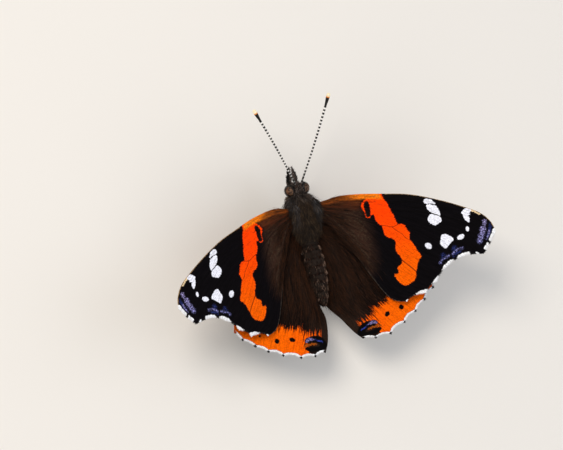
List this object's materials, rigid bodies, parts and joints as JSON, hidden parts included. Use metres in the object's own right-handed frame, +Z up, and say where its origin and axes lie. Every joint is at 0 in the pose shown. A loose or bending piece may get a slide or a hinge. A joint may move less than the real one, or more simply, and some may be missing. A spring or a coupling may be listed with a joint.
{
  "type": "red admiral butterfly",
  "caption": "Life-size red admiral butterfly standing on a surface with its wings raised in a shallow V, antennae spread forward and legs on the floor.",
  "frame": {"origin": "on the floor, under the middle of the animal's bounding box", "axes": "+X towards the animal's left, along the span of the wings; +Y towards the tail, so the head faces -Y; +Z up"},
  "size_m": [0.0582, 0.0422, 0.0174],
  "materials": {
    "forewing_scales": "matte",
    "hindwing_scales": "matte",
    "body_hair": "matte",
    "eye_facets": "gloss",
    "antenna_cuticle": "satin",
    "palp_hair": "matte",
    "tongue_cuticle": "satin",
    "leg_cuticle": "matte"
  },
  "bodies": {
    "root": {"head": "body_hair", "thorax": "body_hair", "abdomen": "body_hair", "proboscis": "tongue_cuticle", "eye_left": "eye_facets", "eye_right": "eye_facets", "antenna_left": "antenna_cuticle", "antenna_right": "antenna_cuticle", "palp_left": "palp_hair", "palp_right": "palp_hair", "forewing_left": "forewing_scales", "forewing_right": "forewing_scales", "hindwing_left": "hindwing_scales", "hindwing_right": "hindwing_scales", "foreleg_left": "leg_cuticle", "foreleg_right": "leg_cuticle", "midleg_left": "leg_cuticle", "midleg_right": "leg_cuticle", "hindleg_left": "leg_cuticle", "hindleg_right": "leg_cuticle"}
  },
  "joints": []
}
